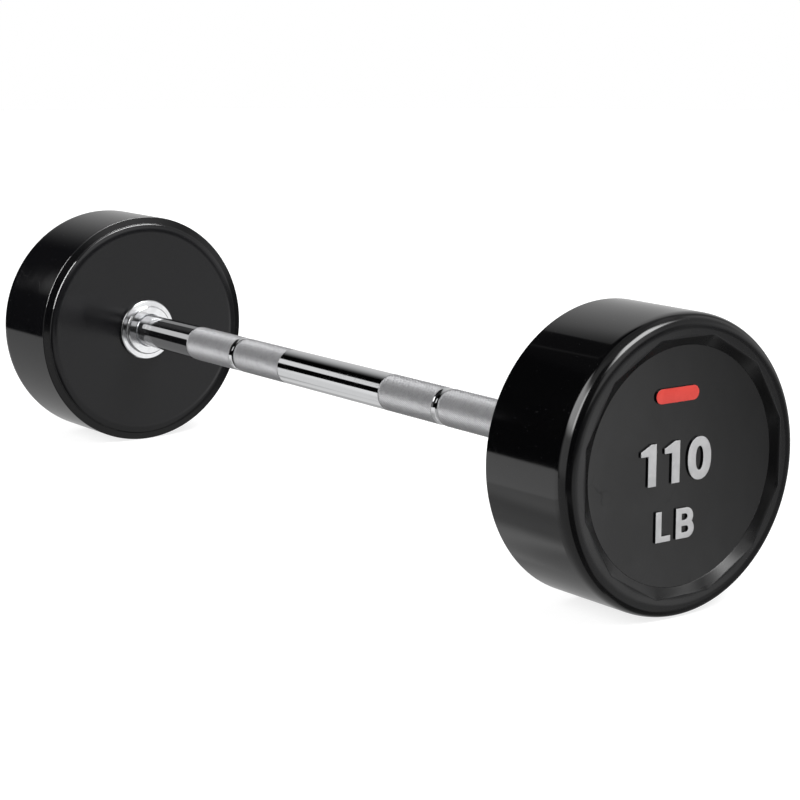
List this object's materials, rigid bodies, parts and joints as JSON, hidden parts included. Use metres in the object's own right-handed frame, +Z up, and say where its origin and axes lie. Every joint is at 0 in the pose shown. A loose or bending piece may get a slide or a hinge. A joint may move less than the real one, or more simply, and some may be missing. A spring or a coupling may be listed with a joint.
{
  "type": "fixed barbell",
  "caption": "Fixed barbell: a straight chrome bar with knurled grip bands and a round urethane-covered weight head bolted on each end.",
  "frame": {"origin": "on the bar's axis, midway between the two heads, which is the centre of the whole barbell", "axes": "+X along the bar towards the right head, +Z up as the numbers read, +Y across the bar"},
  "size_m": [0.889, 0.228, 0.228],
  "materials": {
    "chrome_bar": "polished chrome plate, with diamond knurling on the grip bands",
    "chrome_collar": "turned and chrome plated",
    "core_steel": "plain turned steel",
    "black_urethane": "glossy moulded wall, satin faces",
    "satin_urethane": "satin",
    "silver_marks": "fine satin",
    "red_mark": "satin enamel",
    "fastener_steel": "zinc plated"
  },
  "bodies": {
    "root": {"bar": "chrome_bar", "left_collar": "chrome_collar", "left_core": "core_steel", "left_jacket": "black_urethane", "left_face_plate": "satin_urethane", "left_weight_number": "silver_marks", "left_unit_letters": "silver_marks", "left_colour_bar": "red_mark", "left_draw_bolt": "fastener_steel", "left_flat_washer": "fastener_steel", "left_lock_washer": "fastener_steel", "left_key_pins": "fastener_steel", "right_collar": "chrome_collar", "right_core": "core_steel", "right_jacket": "black_urethane", "right_face_plate": "satin_urethane", "right_weight_number": "silver_marks", "right_unit_letters": "silver_marks", "right_colour_bar": "red_mark", "right_draw_bolt": "fastener_steel", "right_flat_washer": "fastener_steel", "right_lock_washer": "fastener_steel", "right_key_pins": "fastener_steel"}
  },
  "joints": []
}
